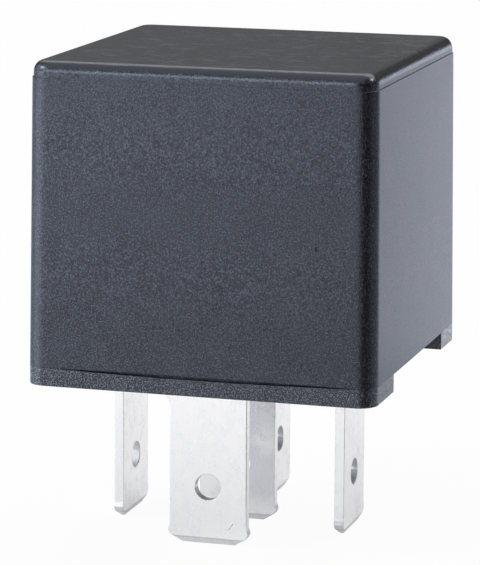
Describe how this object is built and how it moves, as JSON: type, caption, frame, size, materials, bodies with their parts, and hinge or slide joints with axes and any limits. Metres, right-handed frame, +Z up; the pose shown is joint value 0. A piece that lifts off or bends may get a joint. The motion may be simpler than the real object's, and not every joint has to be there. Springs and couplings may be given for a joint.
{
  "type": "automotive relay",
  "caption": "Square plug-in changeover relay with a black moulded case, two base rails, flat push-on blades and a hinged armature inside.",
  "frame": {"origin": "centre of the case's footprint, at the level of the blade tips that the part stands on", "axes": "+Z up from the blade tips to the top of the case, -Y towards the front blade, +X to the right seen from the front"},
  "size_m": [0.028, 0.028, 0.0382],
  "materials": {
    "case_plastic": "fine sandy moulded texture, glass-filled",
    "base_plastic": "sandy moulded texture with sparkling glass specks",
    "tinned_strip": "matt tin plate on copper alloy",
    "iron": "zinc-plated soft iron",
    "bobbin_plastic": "smooth moulded nylon",
    "copper_wire": "enamelled copper",
    "tape": "glossy polyester tape",
    "resistor_coat": "lacquered coat with plain colour bands",
    "tinned_wire": "tinned copper wire with solder",
    "silver_contact": "satin silver alloy",
    "spring_bronze": "rolled bronze strip",
    "rivet_brass": "peened brass"
  },
  "bodies": {
    "case": {"base": "base_plastic", "terminal_87": "tinned_strip", "terminal_87a": "tinned_strip", "terminal_30": "tinned_strip", "terminal_85": "tinned_strip", "terminal_86": "tinned_strip", "yoke": "iron", "bobbin": "bobbin_plastic", "coil_winding": "copper_wire", "coil_tape": "tape", "core": "iron", "coil_lead_85": "copper_wire", "coil_lead_86": "copper_wire", "resistor_body": "resistor_coat", "resistor_wires": "tinned_wire", "normally_open_contact": "silver_contact", "normally_closed_contact": "silver_contact", "yoke_rivets": "rivet_brass", "cover": "case_plastic"},
    "armature": {"armature": "iron", "armature_rivets": "rivet_brass", "moving_contact": "silver_contact", "leaf_spring": "spring_bronze"}
  },
  "joints": [
    {"name": "armature_rock", "type": "hinge", "parent": "case", "child": "armature", "pos_m": [0, 0.0112, 0.03133], "axis": [1, 0, 0], "range_deg": [0, 2.5], "stiffness_Nm_per_rad": 0.045, "springref_deg": -3.78, "deforming": ["leaf_spring"]}
  ]
}
